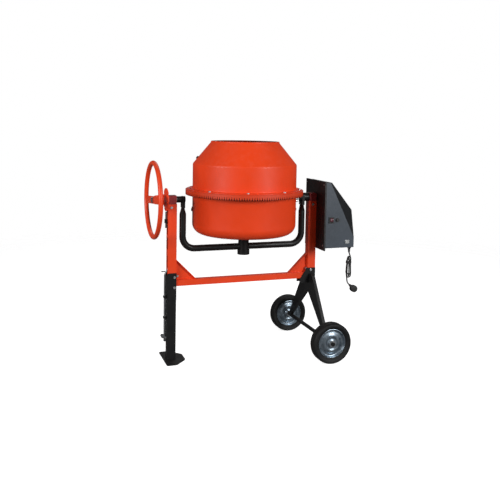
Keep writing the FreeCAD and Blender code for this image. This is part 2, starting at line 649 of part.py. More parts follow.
guide_shell = box(("-disc_centre - 6.5", "-post_offset - post_width / 2"), ("-10", "10"),
                  (latch_top + " - 62", latch_top + " - 40"))
guide_slot = box(("-disc_centre - 4", "-disc_centre + 4"), ("-5.5", "5.5"), (latch_top + " - 64", latch_top + " - 30"))
low_guides = [cut(box(("-rod_offset - 8.5", "-post_offset - post_width / 2"), ("-8.5", "8.5"), (low, low + " + 10")),
                  rod("rod_radius + 0.4", "20", "-rod_offset", 0, low + " - 4"))
              for low in ("230", "pedal_height + 220")]
spring_seat = cut(box(("-post_offset - post_width / 2 + post_wall", "-post_offset + post_width / 2 - post_wall"),
                      ("-post_depth / 2 + post_wall", "post_depth / 2 - post_wall"),
                      ("spring_top", "spring_top + 3")),
                  rod("rod_radius + 0.4", "20", "-rod_inner", 0, "spring_top - 4"))
piece("rod_guides", group(cut(guide_shell, guide_slot), spring_seat, *low_guides))

coil = doc.addObject("Part::Helix", "coil")
bind(coil, Radius="rod_radius + 2", Pitch="12", Height="spring_top - joggle_high - 7 - 2.5 * spring_wire")
place(coil, 0, 0, 0)
wire = doc.addObject("Part::Circle", "wire")
bind(wire, Radius="spring_wire")
place(wire, "rod_radius + 2", 0, 0, FreeCAD.Rotation(FreeCAD.Vector(1, 0, 0), 90))
spring = doc.addObject("Part::Sweep", "spring")
spring.Sections = [wire]
spring.Spine = (coil, [])
spring.Solid = True
spring.Frenet = True
place(spring, "-rod_inner", 0, "joggle_high + 7 + 1.2 * spring_wire")
piece("lock_spring", spring)

# ---------------------------------------------------------------- drum


FLANGE_BOLTS = [("%.6f * (drum_radius + 18)" % math.cos(math.radians(15 + 40 * index)),
                 "%.6f * (drum_radius + 18)" % math.sin(math.radians(15 + 40 * index))) for index in range(9)]
PADDLE_BOLT = "821"
PADDLE_TURN = FreeCAD.Rotation(FreeCAD.Vector(0, 0, 1), -17)
PADDLE_WAY = PADDLE_TURN.multVec(FreeCAD.Vector(1, 0, 0))


def wall_rod(radius, length, side, start):
    """A rod through the drum's wall at a paddle, along the line out from the drum's axis."""
    return rod(radius, length, "%.6f * (%s)" % (side * PADDLE_WAY.x, start), "%.6f * (%s)" % (side * PADDLE_WAY.y, start),
               PADDLE_BOLT, PADDLE_TURN.multiply(FreeCAD.Rotation(FreeCAD.Vector(0, 1, 0), 90 * side)))


def make_shell(name, profile, *fitted):
    """A wall turned from its profile, fused with any bead, with the holes of its flange."""
    owner = body("shell")
    spin(owner, sketch(owner, "XZ_Plane", profile))
    holes = [rod("bolt_radius", "20", x, y, "seam_height - 10") for x, y in FLANGE_BOLTS]
    holes += [wall_rod("bolt_radius", "12", side, "drum_radius - 8") for side in (-1, 1)]
    piece(name, cut(fuse(owner, *fitted), *holes))


wall = "drum_wall"
make_shell("drum_bottom_shell", [
    ("0", "drum_bottom"), ("dish_flat", "drum_bottom", "120"), ("drum_radius", "dish_edge", "dish_corner"),
    ("drum_radius", "seam_height - drum_wall"), ("shell_flange", "seam_height - drum_wall"),
    ("shell_flange", "seam_height"), ("drum_radius - drum_wall", "seam_height"),
    ("drum_radius - drum_wall", "dish_edge + 2.2", "dish_corner - drum_wall"),
    ("dish_flat", "drum_bottom + drum_wall", "117.5"), ("0", "drum_bottom + drum_wall")])
mouth_edge = "mouth_radius - bead_radius"
mouth_line = "mouth_height - bead_radius"
make_shell("drum_top_shell", [
    ("drum_radius - drum_wall", "seam_height"), ("shell_flange", "seam_height"),
    ("shell_flange", "seam_height + drum_wall"), ("drum_radius", "seam_height + drum_wall"),
    ("drum_radius", "shoulder_height", "14"), (mouth_edge, mouth_line),
    (mouth_edge + " - 1.7", mouth_line + " - 1.8"), ("drum_radius - drum_wall", "shoulder_height - 1", "11.5")],
    torus(mouth_edge, "bead_radius", 0, 0, mouth_line))

piece("drum_shaft", fuse(rod("drum_shaft_radius", "drum_bottom - hub_low - 7", 0, 0, "hub_low + 5"),
                         rod("3.2 * drum_shaft_radius", "6", 0, 0, "drum_bottom - 6")))


def make_paddle(name, side):
    """Mixing blade: a bar that stands off the wall between a low and a high fixing."""
    reach = "%d * (drum_radius - drum_wall)" % side
    points = [(reach, "790"), (reach, "850"), ("%d * 228" % side, "925", "40"), ("%d * 214" % side, "1000", "30"),
              ("%d * 252" % side, "1098"), ("%d * 240" % side, "1112"), ("%d * 150" % side, "1010", "40"),
              ("%d * 165" % side, "880", "60")]
    blade = place(plate("XZ_Plane", "5", points), turn=PADDLE_TURN)
    piece(name, cut(blade, wall_rod("bolt_radius", "12", side, "drum_radius - 8")))


make_paddle("paddle_left", -1)
make_paddle("paddle_right", 1)


def make_drum_bolts():
    """Nine bolts through the flanges into the ring gear and the two that hold each paddle."""
    parts = []
    for x, y in FLANGE_BOLTS:
        parts.append(fuse(hexagon("head_radius", "head_height", x, y, "seam_height + drum_wall"),
                          rod("bolt_radius", "20", x, y, "seam_height + drum_wall - 20")))
    for side in (-1, 1):
        parts.append(fuse(wall_rod("7", "4", side, "drum_radius"),
                          wall_rod("bolt_radius", "12", side, "drum_radius - 8")))
    return group(*parts)


piece("drum_bolts", make_drum_bolts())


# ---------------------------------------------------------------- ring gear and pinion
# Both are bevel gears whose cones meet where the drum's axis crosses the tilt axis, so every
# tooth tapers towards that point. The ring's teeth point down and the pinion turns under them.
R = {name: number(name) for name in SIZES}
APEX = FreeCAD.Vector(0, 0, R["tilt_height"])
MODULE = 2 * R["gear_radius"] / R["ring_teeth"]
PITCH_ANGLE = math.radians(25)
PINION_PITCH = R["gear_radius"] * R["pinion_teeth"] / R["ring_teeth"]


def scaled_wire(points, radius):
    """Close a profile drawn at the gear radius after scaling it about the apex to another radius."""
    scale = radius / R["gear_radius"]
    moved = [APEX + (point - APEX) * scale for point in points]
    return Part.makePolygon(moved + moved[:1])


def tooth_space():
    """Cutter for one space of the ring gear, pointing along +X."""
    half = MODULE * math.pi / 4 + R["gear_backlash"] / 2
    pitch_line = R["tilt_height"] + PINION_PITCH
    slope = math.tan(PITCH_ANGLE)
    below, root = 1.6 * MODULE, MODULE + R["gear_clearance"]
    narrow = half - root * slope
    top = R["tooth_depth"] - 0.8 * MODULE
    outline = [(-half - below * slope, -below), (half + below * slope, -below), (narrow, root),
               (narrow, top), (-narrow, top), (-narrow, root)]
    points = [FreeCAD.Vector(R["gear_radius"], across, pitch_line + up) for across, up in outline]
    wires = [scaled_wire(points, radius) for radius in (R["ring_inner"] - 6, R["ring_radius"] + 6)]
    return Part.makeLoft(wires, True, True)


def make_gear_segment(name, index, cutter):
    """A third of the ring gear: a band under the flanges with its share of the teeth below."""
    teeth = int(R["ring_teeth"] / 3)
    pitch = 360 / R["ring_teeth"]
    half_gap = math.degrees(R["ring_gap"] / R["ring_radius"]) / 2
    first = (index * teeth) * pitch
    inner, outer = R["ring_inner"], R["ring_radius"]
    top = R["seam_height"] - R["drum_wall"]
    tip = R["tilt_height"] + (PINION_PITCH - 0.8 * MODULE) / R["gear_radius"] * inner
    tip_out = R["tilt_height"] + (PINION_PITCH - 0.8 * MODULE) / R["gear_radius"] * outer
    profile = Part.Face(Part.makePolygon([FreeCAD.Vector(x, 0, z) for x, z in (
        (inner, tip), (outer, tip_out), (outer, top), (inner, top), (inner, tip))]))
    band = profile.revolve(FreeCAD.Vector(0, 0, 0), FreeCAD.Vector(0, 0, 1), 360 / 3 - 2 * half_gap)
    band.rotate(FreeCAD.Vector(0, 0, 0), FreeCAD.Vector(0, 0, 1), first + half_gap)
    spaces = []
    for step in range(teeth + 1):
        space = cutter.copy()
        space.rotate(FreeCAD.Vector(0, 0, 0), FreeCAD.Vector(0, 0, 1), first + step * pitch)
        spaces.append(space)
    holes = []
    for bolt_index in range(9):
        angle = math.radians(15 + 40 * bolt_index)
        place_on = FreeCAD.Vector(math.cos(angle), math.sin(angle), 0) * (R["drum_radius"] + 18)
        holes.append(Part.makeCylinder(R["bolt_radius"], 60, place_on + FreeCAD.Vector(0, 0, top - 40)))
    piece(name, built(band.cut(spaces).cut(holes)))


space_cutter = tooth_space()
for segment in range(3):
    make_gear_segment("gear_segment_%d" % (segment + 1), segment, space_cutter)


def pinion_outline():
    """Involute outline of the pinion at the gear radius, one tooth pointing up."""
    count = int(R["pinion_teeth"])
    base = PINION_PITCH * math.cos(PITCH_ANGLE)
    tip, root = PINION_PITCH + MODULE, PINION_PITCH - 0.8 * MODULE - R["gear_clearance"]
    involute = math.tan(PITCH_ANGLE) - PITCH_ANGLE
    half_tooth = math.pi / (2 * count) - R["gear_backlash"] / (4 * PINION_PITCH) + involute
    flank = []
    for step in range(7):
        radius = base + (tip - base) * step / 6
        roll = math.acos(base / radius)
        flank.append((radius, half_tooth - (math.tan(roll) - roll)))
    flank.insert(0, (root, half_tooth))
    points = []
    for tooth in range(count):
        middle = 2 * math.pi * tooth / count
        side = [(radius, middle - turn) for radius, turn in flank]
        side += [(radius, middle + turn) for radius, turn in reversed(flank)]
        points += [APEX + FreeCAD.Vector(R["gear_radius"], radius * math.sin(turn), radius * math.cos(turn))
                   for radius, turn in side]
    return points


pinion_points = pinion_outline()
pinion_body = Part.makeLoft([scaled_wire(pinion_points, R[edge]) for edge in ("pinion_front", "pinion_back")],
                            True, True)
pinion_bore = Part.makeCylinder(R["pinion_shaft_radius"], 60, FreeCAD.Vector(R["pinion_front"] - 20, 0, APEX.z),
                                FreeCAD.Vector(1, 0, 0))
piece("drive_pinion", built(pinion_body.cut(pinion_bore)))
piece("pinion_shaft", rod("pinion_shaft_radius", "pulley_plane + pulley_width / 2 + 8 - pinion_front",
                          "pinion_front", 0, A, PLUS_X))

# ---------------------------------------------------------------- belt drive and motor


def make_pulley(radius, bore, height):
    """Grooved wheel on the belt's plane, turning about an axis along X."""
    owner = body("pulley")
    half = "pulley_width / 2"
    spin(owner, sketch(owner, "XZ_Plane", [
        ("-(%s)" % half, bore), ("-(%s)" % half, radius + " + 4"), ("-(%s) + 3" % half, radius + " + 4"),
        ("-(%s) + 4" % half, radius), ("(%s) - 4" % half, radius), ("(%s) - 3" % half, radius + " + 4"),
        (half, radius + " + 4"), (half, bore)]), "H_Axis")
    return place(owner, "pulley_plane", 0, height)


piece("drive_pulley", make_pulley("pulley_large", "pinion_shaft_radius", A))
shaft_from = "pulley_plane - pulley_width / 2"
rotor_length = "motor_back - motor_front - 20"
piece("motor_rotor", fuse(make_pulley("pulley_small", "7", "motor_height"),
                          rod("7", "motor_back - 8 - (%s)" % shaft_from, shaft_from, 0, "motor_height", PLUS_X),
                          rod("rotor_radius", rotor_length, "motor_front + 12", 0, "motor_height", PLUS_X)))
casing = rod("motor_radius", "motor_back - motor_front", "motor_front", 0, "motor_height", PLUS_X)
cavity = rod("rotor_radius + 0.5", "motor_back - motor_front - 16", "motor_front + 10", 0, "motor_height", PLUS_X)
nose = rod("7 + run_gap", "30", "motor_front - 10", 0, "motor_height", PLUS_X)
stands = [rod("5", "motor_front - box_left - sheet + 4", "box_left + sheet", y, z, PLUS_X)
          for y, z in (("-46", "motor_height - 12"), ("46", "motor_height - 12"), ("0", "motor_height - 48"))]
piece("motor_body", cut(fuse(casing, *stands), cavity, nose))


def make_belt():
    """Flat belt round both pulleys: two tangent runs and two arcs, with a constant thickness."""
    width = R["pulley_width"] - 9
    near = R["pulley_plane"] - width / 2
    def loop(grow):
        large, small = R["pulley_large"] + 0.3 + grow, R["pulley_small"] + 0.3 + grow
        span = R["tilt_height"] - R["motor_height"]
        lean = math.asin((large - small) / span)
        def at(radius, height, angle):
            return FreeCAD.Vector(near, radius * math.cos(angle), height + radius * math.sin(angle))
        top, low = R["tilt_height"], R["motor_height"]
        right, left = -lean, math.pi + lean
        return Part.Wire([
            Part.Arc(at(large, top, right), at(large, top, math.pi / 2), at(large, top, left)).toShape(),
            Part.LineSegment(at(large, top, left), at(small, low, left)).toShape(),
            Part.Arc(at(small, low, left), at(small, low, -math.pi / 2), at(small, low, right)).toShape(),
            Part.LineSegment(at(small, low, right), at(large, top, right)).toShape()])
    outer = Part.Face(loop(R["belt_thick"])).extrude(FreeCAD.Vector(width, 0, 0))
    inner = Part.Face(loop(0)).extrude(FreeCAD.Vector(width, 0, 0))
    return built(outer.cut(inner))


piece("drive_belt", make_belt())
piece("capacitor", rod("17", "90", "box_left + sheet + 60", "78", "box_low + 50", PLUS_X))

# ---------------------------------------------------------------- motor box
tray_shell = box(("box_left", "box_left + tray_depth"), ("-box_half", "box_half"), ("tray_low", "tray_top"))
tray_hollow = box(("box_left + sheet", "box_left + tray_depth + 1"), ("-box_half + sheet", "box_half - sheet"),
                  ("tray_low + sheet", "tray_top - sheet"))
tray_tools = [rod("trunnion_radius + 2", "20", "box_left - 5", 0, A, PLUS_X)]
tray_tools += [rod("2.5", "20", "box_left - 5", y, z, PLUS_X) for y, z in TRAY_SCREWS]
piece("motor_tray", cut(tray_shell, tray_hollow, *tray_tools))


def make_cover():
    """Folded sheet cover, open at the tray: a box with one corner cut off and a sloping facet."""
    left, right = R["box_left"] + R["tray_depth"], R["box_right"]
    low, top, half = R["box_low"], R["box_top"], R["box_half"]
    def hull(grow):
        block = Part.makeBox(right - left - grow, 2 * (half - grow), top - low - 2 * grow,
                             FreeCAD.Vector(left, -half + grow, low + grow))
        def slice_off(first, second, third):
            normal = (second - first).cross(third - first).normalize()
            if normal.dot(FreeCAD.Vector(1, -1, 1)) < 0:
                normal = normal * -1
            cutter = Part.makePlane(2000, 2000, FreeCAD.Vector(-1000, -1000, 0))
            cutter = cutter.extrude(FreeCAD.Vector(0, 0, 1000))
            cutter.Placement = FreeCAD.Placement(first - normal * grow,
                                                 FreeCAD.Rotation(FreeCAD.Vector(0, 0, 1), normal))
            return cutter
        corner_top = FreeCAD.Vector(R["corner_top"], 0, top)
        corner_side = FreeCAD.Vector(right, 0, R["corner_side"])
        corner = slice_off(corner_top, corner_side, corner_top + FreeCAD.Vector(0, 50, 0))
        facet = slice_off(FreeCAD.Vector(R["facet_left"], -half, top), FreeCAD.Vector(right, -half, R["facet_low"]),
                          FreeCAD.Vector(right, -half + R["facet_inset"], R["corner_side"]))
        return block.cut(corner).cut(facet)
    cover = hull(0).cut(hull(R["sheet"]))
    switch = Part.makeBox(24.4, 20, 30.4, FreeCAD.Vector(R["switch_place"] - 12.2, -half - 5,
                                                         R["switch_height"] - 15.2))
    button = Part.makeCylinder(8.5, 20, FreeCAD.Vector(R["reset_place"], -half - 5, R["switch_height"]),
                               FreeCAD.Vector(0, 1, 0))
    entry = Part.makeCylinder(R["gland_radius"], 20, FreeCAD.Vector(R["gland_place"], -R["gland_depth"], low - 5))
    return built(cover.cut([switch, button, entry]))


piece("motor_cover", make_cover())

# ---------------------------------------------------------------- switch, reset button and cable entry
front = "-box_half"
bezel = box(("switch_place - 15", "switch_place + 15"), (front + " - 5", front),
            ("switch_height - 17.5", "switch_height + 17.5"))
well = box(("switch_place - 12", "switch_place + 12"), (front, front + " + 16"),
           ("switch_height - 15", "switch_height + 15"))
slot = box(("switch_place - 9", "switch_place + 9"), (front + " - 6", front + " + 14"),
           ("switch_height - 12.5", "switch_height + 12.5"))
collar = cut(rod("11.5", "4", "reset_place", front + " - 4", "switch_height", PLUS_Y),
             rod("8.4", "6", "reset_place", front + " - 5", "switch_height", PLUS_Y))
piece("switch_bezel", group(cut(fuse(bezel, well), slot), collar))
round_part = rod("12.2", "17.4", "switch_place - 8.7", front + " + 3", "switch_height", PLUS_X)
flat_part = box(("switch_place - 8.7", "switch_place + 8.7"), (front + " - 8.5", front + " + 6"),
                ("switch_height - 12.2", "switch_height + 12.2"))
piece("switch_rocker", common(round_part, flat_part))
piece("reset_button", rod("8", "13", "reset_place", front + " - 8", "switch_height", PLUS_Y))
gland = cut(fuse(rod("gland_radius + 3", "gland_length", "gland_place", "-gland_depth", "box_low - gland_length"),
                 rod("gland_radius", "6", "gland_place", "-gland_depth", "box_low")),
            rod("cable_radius", "40", "gland_place", "-gland_depth", "box_low - 20"))
piece("cable_gland", gland)
clamp = box(("569", "595"), (front + " - 3", front), ("622", "641"))
clamp_heads = [rod("4", "3", x, front + " - 6", "631.5", PLUS_Y) for x in ("575.5", "588.5")]
piece("cable_clamp", fuse(clamp, *clamp_heads))

# ---------------------------------------------------------------- mains cord and plug
# The cord drops from its gland to a hank and leaves it for the plug. Points are chosen by hand.
DROP = [(607, -112, 590), (611, -112, 553.5)]
TAIL = [(599, -112, 401.5), (601, -112, 390), (608, -112, 380.7), (617, -112, 372.8)]


def make_cord(name, route):
    """Round cord along straight runs joined by tangent arcs as large as the runs allow."""
    points = [FreeCAD.Vector(*point) for point in route]
    edges, start = [], points[0]
    for before, corner, after in zip(points, points[1:], points[2:]):
        back, ahead = (before - corner), (after - corner)
        shorter = min(back.Length, ahead.Length)
        back.normalize()
        ahead.normalize()
        half_turn = (math.pi - back.getAngle(ahead)) / 2
        radius = 0.45 * shorter / math.tan(half_turn)
        print("%s: turn of %.0f degrees, radius %.0f mm" % (name, 2 * math.degrees(half_turn), radius))
        reach = 0.45 * shorter
        entry, leave = corner + back * reach, corner + ahead * reach
        centre = corner + (back + ahead).normalize() * (radius / math.cos(half_turn))
        middle = centre + (corner - centre).normalize() * radius
        edges += [Part.LineSegment(start, entry).toShape(), Part.Arc(entry, middle, leave).toShape()]
        start = leave
    edges.append(Part.LineSegment(start, points[-1]).toShape())
    path = Part.Wire(edges)
    direction = (points[1] - points[0]).normalize()
    section = Part.Wire(Part.makeCircle(R["cable_radius"], points[0], direction))
    tube = path.makePipeShell([section], True, True)
    expected = math.pi * R["cable_radius"] ** 2 * path.Length
    if abs(tube.Volume - expected) > 0.02 * expected:
        raise RuntimeError("%s: volume %.0f, expected %.0f" % (name, tube.Volume, expected))
    piece(name, built(tube))


make_cord("cord_drop", DROP)
make_cord("cord_tail", TAIL)
hank = body("hank")
spin_outline = [("0", "402"), ("14", "402"), ("18", "410"), ("20", "455"), ("18", "500"), ("17", "545"),
                ("12", "553"), ("0", "553")]
spin(hank, sketch(hank, "XZ_Plane", spin_outline))
piece("cord_hank", place(hank, "607", "-gland_depth", 0))
plug_turn = FreeCAD.Rotation(FreeCAD.Vector(0, 0, 1), FreeCAD.Vector(-24, 0, 21))
plug_round = rod("plug_radius", "plug_depth", "643", "-gland_depth - plug_depth / 2", "350", PLUS_Y)
plug_neck = cone("10", "6", "15", "629.1", "-gland_depth", "362.2", plug_turn)
plug_end = rod("6", "3.5", "621.6", "-gland_depth", "368.7", plug_turn)
piece("plug_body", fuse(plug_round, plug_neck, plug_end))
piece("plug_pins", group(*[rod("2.4", "19", x, "-gland_depth + plug_depth / 2", z, PLUS_Y)
                           for x, z in (("636", "343"), ("650", "357"))]))

# ---------------------------------------------------------------- check and write
doc.recompute()
broken = [item.Name + " " + " ".join(item.State) for item in doc.Objects
          if "Invalid" in item.State or "Error" in item.State]
for item in pieces:
    if item.Shape.isNull() or not item.Shape.isValid() or item.Shape.Volume <= 0:
        broken.append(item.Label + " has no valid shape")
if broken:
    raise RuntimeError("; ".join(broken))
for item in pieces:
    item.Shape.exportStep("parts/%s.step" % item.Label)
    box_of = item.Shape.BoundBox
    print("%-22s %2d solid(s) %9.0f mm3  X %7.1f %7.1f  Y %7.1f %7.1f  Z %7.1f %7.1f" % (
        item.Label, len(item.Shape.Solids), item.Shape.Volume, box_of.XMin, box_of.XMax,
        box_of.YMin, box_of.YMax, box_of.ZMin, box_of.ZMax))
print(len(pieces), "pieces")
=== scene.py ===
import math

import bmesh
import bpy
from mathutils import Matrix, Vector


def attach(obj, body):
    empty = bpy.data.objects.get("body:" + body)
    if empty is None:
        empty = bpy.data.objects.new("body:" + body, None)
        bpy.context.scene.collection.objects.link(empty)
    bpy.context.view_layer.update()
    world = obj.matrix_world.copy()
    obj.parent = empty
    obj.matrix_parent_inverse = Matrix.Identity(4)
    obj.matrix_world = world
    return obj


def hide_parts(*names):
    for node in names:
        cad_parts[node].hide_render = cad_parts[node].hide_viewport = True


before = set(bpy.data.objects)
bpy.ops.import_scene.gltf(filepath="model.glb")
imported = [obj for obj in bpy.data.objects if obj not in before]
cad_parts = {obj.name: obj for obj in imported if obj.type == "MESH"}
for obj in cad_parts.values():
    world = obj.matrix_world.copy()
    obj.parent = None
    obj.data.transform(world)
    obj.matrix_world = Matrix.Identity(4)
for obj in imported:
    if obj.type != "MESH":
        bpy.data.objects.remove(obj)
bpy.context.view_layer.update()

# ------------------------------------------------------------ camera, floor and light
# A long lens a little above the drum's seam, on the handwheel side, over a pale studio floor
# with a large soft box in front to the right, a larger one far round to the left, a weak lamp high
# behind, and a white surround that gives little light.
YAW, PITCH, ROLL = math.radians(19.27), math.radians(4), math.radians(1.0138)

ahead = Vector((math.sin(YAW) * math.cos(PITCH), math.cos(YAW) * math.cos(PITCH), -math.sin(PITCH)))
level = Vector((math.cos(YAW), -math.sin(YAW), 0))
upward = level.cross(ahead)
camera_x = level * math.cos(ROLL) + upward * math.sin(ROLL)
camera_y = upward * math.cos(ROLL) - level * math.sin(ROLL)
camera = bpy.data.objects.new("camera", bpy.data.cameras.new("camera"))
camera.data.lens = 48.32
camera.data.sensor_width = 36
camera.data.shift_y = -0.1589
camera.matrix_world = Matrix.Translation((-1.2571, -3.5456, 1.2970)) @ Matrix(
    (camera_x, camera_y, -ahead)).transposed().to_4x4()
bpy.context.scene.collection.objects.link(camera)
bpy.context.scene.camera = camera
bpy.context.scene.view_settings.view_transform = "Standard"


def lamp(name, place, target, width, height, watts):
    """A soft box at one place, facing a target."""
    made = bpy.data.objects.new(name, bpy.data.lights.new(name, "AREA"))
    made.data.shape = "RECTANGLE"
    made.data.size, made.data.size_y = width, height
    made.data.energy = watts
    made.location = place
    made.rotation_euler = (Vector(target) - Vector(place)).to_track_quat("-Z", "Y").to_euler()
    bpy.context.scene.collection.objects.link(made)


lamp("right_box", (2.3, -4.0, 2.3), (0, 0, 0.8), 1.5, 1.9, 165)
lamp("left_box", (-4.3, -1.9, 2.3), (0, 0, 0.8), 2.4, 2.4, 165)
lamp("back_lamp", (0.9, 2.8, 3.2), (0, 0, 0.8), 2.4, 1.2, 20)

world = bpy.data.worlds.new("surround")
bpy.context.scene.world = world
world.use_nodes = True
surround_light = world.node_tree.nodes["Background"]
surround_light.inputs["Color"].default_value = (1, 1, 1, 1)
seen = world.node_tree.nodes.new("ShaderNodeLightPath").outputs["Is Camera Ray"]
strength = world.node_tree.nodes.new("ShaderNodeMapRange")
strength.inputs["To Min"].default_value = 0.10
strength.inputs["To Max"].default_value = 1.0
world.node_tree.links.new(seen, strength.inputs["Value"])
world.node_tree.links.new(strength.outputs["Result"], surround_light.inputs["Strength"])

floor_mesh = bmesh.new()
bmesh.ops.create_circle(floor_mesh, cap_ends=True, segments=96, radius=9)
floor_data = bpy.data.meshes.new("floor")
floor_mesh.to_mesh(floor_data)
floor_mesh.free()
floor = bpy.data.objects.new("floor", floor_data)
bpy.context.scene.collection.objects.link(floor)


def make_material(name, **settings):
    """A material whose Principled shader has these fixed settings, named as its sockets are."""
    made = bpy.data.materials.new(name)
    made.use_nodes = True
    shader = made.node_tree.nodes["Principled BSDF"]
    for setting, value in settings.items():
        shader.inputs[setting.replace("_", " ")].default_value = value
    return made


def node(material, kind, inputs, output=0, **settings):
    """Add a shader node, give its inputs numbers or other nodes' sockets, and return a socket."""
    made = material.node_tree.nodes.new("ShaderNode" + kind)
    for setting, value in settings.items():
        setattr(made, setting, value)
    for name, value in inputs.items():
        if isinstance(value, bpy.types.NodeSocket):
            material.node_tree.links.new(value, made.inputs[name])
        else:
            made.inputs[name].default_value = value
    return made.outputs[output]


def wire_up(material, **sockets):
    """Lead sockets into the material's Principled shader."""
    shader = material.node_tree.nodes["Principled BSDF"]
    for name, socket in sockets.items():
        material.node_tree.links.new(socket, shader.inputs[name.replace("_", " ")])


def noise(material, scale, detail=3.0, roughness=0.5, stretch=None):
    """Noise on the object's own coordinates, its scale in features per metre."""
    here = node(material, "TexCoord", {}, "Object")
    if stretch:
        here = node(material, "Mapping", {"Vector": here, "Scale": stretch})
    return node(material, "TexNoise", {"Vector": here, "Scale": scale, "Detail": detail,
                                       "Roughness": roughness}, 0)


def between(material, factor, low, high, to_low, to_high):
    """Map one range of a factor onto another, held at both ends."""
    return node(material, "MapRange", {"Value": factor, "From Min": low, "From Max": high,
                                       "To Min": to_low, "To Max": to_high})


def blended(material, factor, first, second):
    """Two colours mixed by a factor."""
    return node(material, "Mix", {0: factor, 6: first, 7: second}, 2, data_type="RGBA")


def arithmetic(material, operation, first, second):
    return node(material, "Math", {0: first, 1: second}, operation=operation)


floor_finish = make_material("pale_floor", Roughness=0.85, Specular_IOR_Level=0.1,
                             Emission_Color=(1, 1, 1, 1))
looked_at = node(floor_finish, "LightPath", {}, "Is Camera Ray")
distance = node(floor_finish, "VectorMath", {0: node(floor_finish, "TexCoord", {}, "Object")}, 1,
                operation="LENGTH")
wire_up(floor_finish,
        Base_Color=blended(floor_finish, looked_at, (0.22, 0.22, 0.22, 1), blended(
            floor_finish, between(floor_finish, noise(floor_finish, 1.5), 0.4, 0.6, 0, 1),
            (0.92, 0.92, 0.92, 1), (0.94, 0.94, 0.94, 1))),
        Emission_Strength=between(floor_finish, looked_at, 0, 1, 0, 0.72),
        Alpha=between(floor_finish, distance, 2.2, 4.5, 1, 0))
floor.data.materials.append(floor_finish)

# ------------------------------------------------------------ posts, cross tube and gussets
# Folded and drawn steel, 2.5 to 3 mm thick, welded and sprayed with a bright orange-red enamel.
# Orange peel shows in the gloss, and the corners are rubbed down to the darker primer.
ORANGE = (0.80, 0.053, 0.007, 1)
PRIMER = (0.30, 0.052, 0.030, 1)
DUST = (0.62, 0.50, 0.42, 1)


def rounded_normal(material, radius=0.0012):
    """A normal that turns smoothly over every edge, as sheet and castings do."""
    return node(material, "Bevel", {"Radius": radius}, samples=4)


def edge_mask(material, normal):
    """One where the rounded normal leaves the face's own, at edges and corners."""
    face = node(material, "NewGeometry", {}, "Normal")
    along = node(material, "VectorMath", {0: normal, 1: face}, 1, operation="DOT_PRODUCT")
    return between(material, along, 0.995, 0.86, 0, 1)


def bumps(material, normal, height, distance):
    """Fine relief on top of a normal, its distance in metres."""
    return node(material, "Bump", {"Height": height, "Normal": normal, "Distance": distance, "Strength": 1.0})


def make_paint(name, colour, under, gloss=0.28, peel=0.00006, worn=0.5, dust=0.10, coat=0.15, sheen=0.35):
    """Sprayed enamel over primer: slow shade changes, orange peel, thin dust and rubbed edges."""
    made = make_material(name, Coat_Weight=coat, Coat_Roughness=0.12, Specular_IOR_Level=sheen)
    normal = rounded_normal(made)
    shade = between(made, noise(made, 5, 4), 0.3, 0.7, 0.93, 1.05)
    base = node(made, "VectorMath", {0: colour[:3], 3: shade}, operation="SCALE")
    facing_up = node(made, "SeparateXYZ", {0: node(made, "NewGeometry", {}, "Normal")}, 2)
    settled = arithmetic(made, "MULTIPLY", between(made, facing_up, 0.2, 0.95, 0.15, 1),
                         between(made, noise(made, 38, 6, 0.7), 0.45, 0.75, 0, dust))
    dusty = blended(made, settled, base, DUST)
    rubbed = arithmetic(made, "MULTIPLY", edge_mask(made, normal),
                        between(made, noise(made, 120, 5, 0.7), 0.47, 0.62, 0, worn))
    scuffs = between(made, noise(made, 260, 2, 0.5, (1, 1, 0.12)), 0.70, 0.74, 0, 0.25 * worn)
    colour_out = blended(made, arithmetic(made, "MAXIMUM", rubbed, scuffs), dusty, under)
    wire_up(made, Base_Color=colour_out,
            Roughness=arithmetic(
                made, "ADD", between(made, noise(made, 22, 4), 0.3, 0.7, gloss - 0.05, gloss + 0.08),
                arithmetic(made, "MULTIPLY", settled, 1.6)),
            Normal=bumps(made, normal, noise(made, 420, 2), peel))
    return made


def dress(material, *names):
    """Give CAD nodes one finish."""
    for name in names:
        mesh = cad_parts[name].data
        mesh.materials.clear()
        mesh.materials.append(material)


frame_enamel = make_paint("frame_enamel", ORANGE, PRIMER, gloss=0.40, worn=0.55, dust=0.07, coat=0.08)
dress(frame_enamel, "motor_post", "cross_tube", "left_gusset", "right_gusset")

# ------------------------------------------------------------ support leg, foot plate and axle leg
# The lower legs are 3 mm sheet and tube in satin black enamel, scuffed where they are kicked and
# where they stand in the dirt.
BLACK = (0.0075, 0.0075, 0.008, 1)
GREY_UNDER = (0.16, 0.155, 0.15, 1)

black_enamel = make_paint("black_enamel", BLACK, GREY_UNDER, gloss=0.44, peel=0.00007, worn=0.4, dust=0.035,
                          coat=0.06, sheen=0.25)
LEG_TOP = 0.474
post_enamel = make_paint("post_enamel", ORANGE, PRIMER, gloss=0.40, worn=0.55, dust=0.07, coat=0.08)
post_shader = post_enamel.node_tree.nodes["Principled BSDF"]
post_height = node(post_enamel, "SeparateXYZ", {0: node(post_enamel, "TexCoord", {}, "Object")}, 2)
above_leg = between(post_enamel, post_height, LEG_TOP, LEG_TOP + 0.0002, 1, 0)
wire_up(post_enamel, Base_Color=blended(
    post_enamel, above_leg, post_shader.inputs["Base Color"].links[0].from_socket, BLACK))
dress(post_enamel, "handwheel_post")
dress(black_enamel, "support_leg", "foot_plate", "axle_leg_head", "axle_leg_near", "axle_leg_far", "axle")

# ------------------------------------------------------------ bolts, nuts, screws and split pins
# Zinc-plated steel with a faint yellow and blue cast and fine drawing marks.
ZINC = (0.62, 0.61, 0.57, 1)
ZINC_BLUE = (0.50, 0.54, 0.60, 1)


